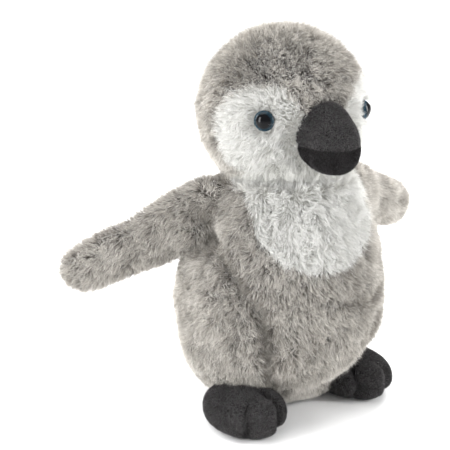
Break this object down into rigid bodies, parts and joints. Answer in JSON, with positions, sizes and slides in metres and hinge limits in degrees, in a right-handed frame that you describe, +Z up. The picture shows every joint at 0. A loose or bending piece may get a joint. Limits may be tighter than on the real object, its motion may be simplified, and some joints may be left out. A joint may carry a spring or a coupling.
{
  "type": "plush penguin",
  "caption": "Standing stuffed penguin chick with a round head, drooping beak, flat flippers set out to the sides and two toed feet, in long soft pile.",
  "frame": {"origin": "on the floor, under the middle of the body, on the flat seat", "axes": "+Z up, -Y the way the face looks, +X the toy's own left"},
  "size_m": [0.2616, 0.1456, 0.2398],
  "materials": {
    "grey_pile": "long soft pile",
    "white_pile": "long soft pile",
    "charcoal_velboa": "short pile",
    "stuffing": "polyester fibre fill",
    "pellet_bag": "woven bag of plastic pellets",
    "eye_clear": "polished",
    "eye_iris": "polished",
    "washer_plastic": "moulded",
    "thread": "sewing thread",
    "label_tape": "satin tape"
  },
  "bodies": {
    "torso": {"belly_panel": "grey_pile", "bib_panel": "white_pile", "seat_panel": "grey_pile", "left_side_panel": "grey_pile", "right_side_panel": "grey_pile", "torso_stuffing": "stuffing", "pellet_pouch": "pellet_bag", "care_label": "label_tape"},
    "neck": {"neck_stuffing": "stuffing"},
    "head": {"crown_panel": "grey_pile", "left_cheek_panel": "grey_pile", "right_cheek_panel": "grey_pile", "left_face_panel": "white_pile", "right_face_panel": "white_pile", "head_stuffing": "stuffing", "beak_upper_panel": "charcoal_velboa", "beak_lower_panel": "charcoal_velboa", "beak_stuffing": "stuffing", "left_eye_dome": "eye_clear", "left_eye_back": "eye_iris", "left_eye_washer": "washer_plastic", "right_eye_dome": "eye_clear", "right_eye_back": "eye_iris", "right_eye_washer": "washer_plastic"},
    "left_flipper": {"left_flipper_front_panel": "grey_pile", "left_flipper_back_panel": "grey_pile", "left_flipper_stuffing": "stuffing"},
    "left_foot": {"left_foot_upper": "charcoal_velboa", "left_foot_sole": "charcoal_velboa", "left_foot_stuffing": "stuffing", "left_toe_stitches": "thread"},
    "right_flipper": {"right_flipper_front_panel": "grey_pile", "right_flipper_back_panel": "grey_pile", "right_flipper_stuffing": "stuffing"},
    "right_foot": {"right_foot_upper": "charcoal_velboa", "right_foot_sole": "charcoal_velboa", "right_foot_stuffing": "stuffing", "right_toe_stitches": "thread"}
  },
  "joints": [
    {"name": "head_turn", "type": "hinge", "parent": "torso", "child": "neck", "pos_m": [0, 0, 0.146], "axis": [0, 0, 1], "range_deg": [-25, 25], "stiffness_Nm_per_rad": 0.25},
    {"name": "head_nod", "type": "hinge", "parent": "neck", "child": "head", "pos_m": [0, 0, 0.146], "axis": [1, 0, 0], "range_deg": [-10, 10], "stiffness_Nm_per_rad": 1.2},
    {"name": "left_flipper_lift", "type": "hinge", "parent": "torso", "child": "left_flipper", "pos_m": [0.048, 0.006, 0.12749], "axis": [0.4848, -0.8746, 0], "range_deg": [-6, 50], "stiffness_Nm_per_rad": 0.15},
    {"name": "left_foot_tip", "type": "hinge", "parent": "torso", "child": "left_foot", "pos_m": [0.044, -0.02, 0.011], "axis": [-1, 0, 0], "range_deg": [-7, 7], "stiffness_Nm_per_rad": 1},
    {"name": "right_flipper_lift", "type": "hinge", "parent": "torso", "child": "right_flipper", "pos_m": [-0.048, 0.006, 0.12749], "axis": [0.5299, 0.848, 0], "range_deg": [-6, 50], "stiffness_Nm_per_rad": 0.15},
    {"name": "right_foot_tip", "type": "hinge", "parent": "torso", "child": "right_foot", "pos_m": [-0.044, -0.033, 0.011], "axis": [-1, 0, 0], "range_deg": [-7, 7], "stiffness_Nm_per_rad": 1}
  ]
}
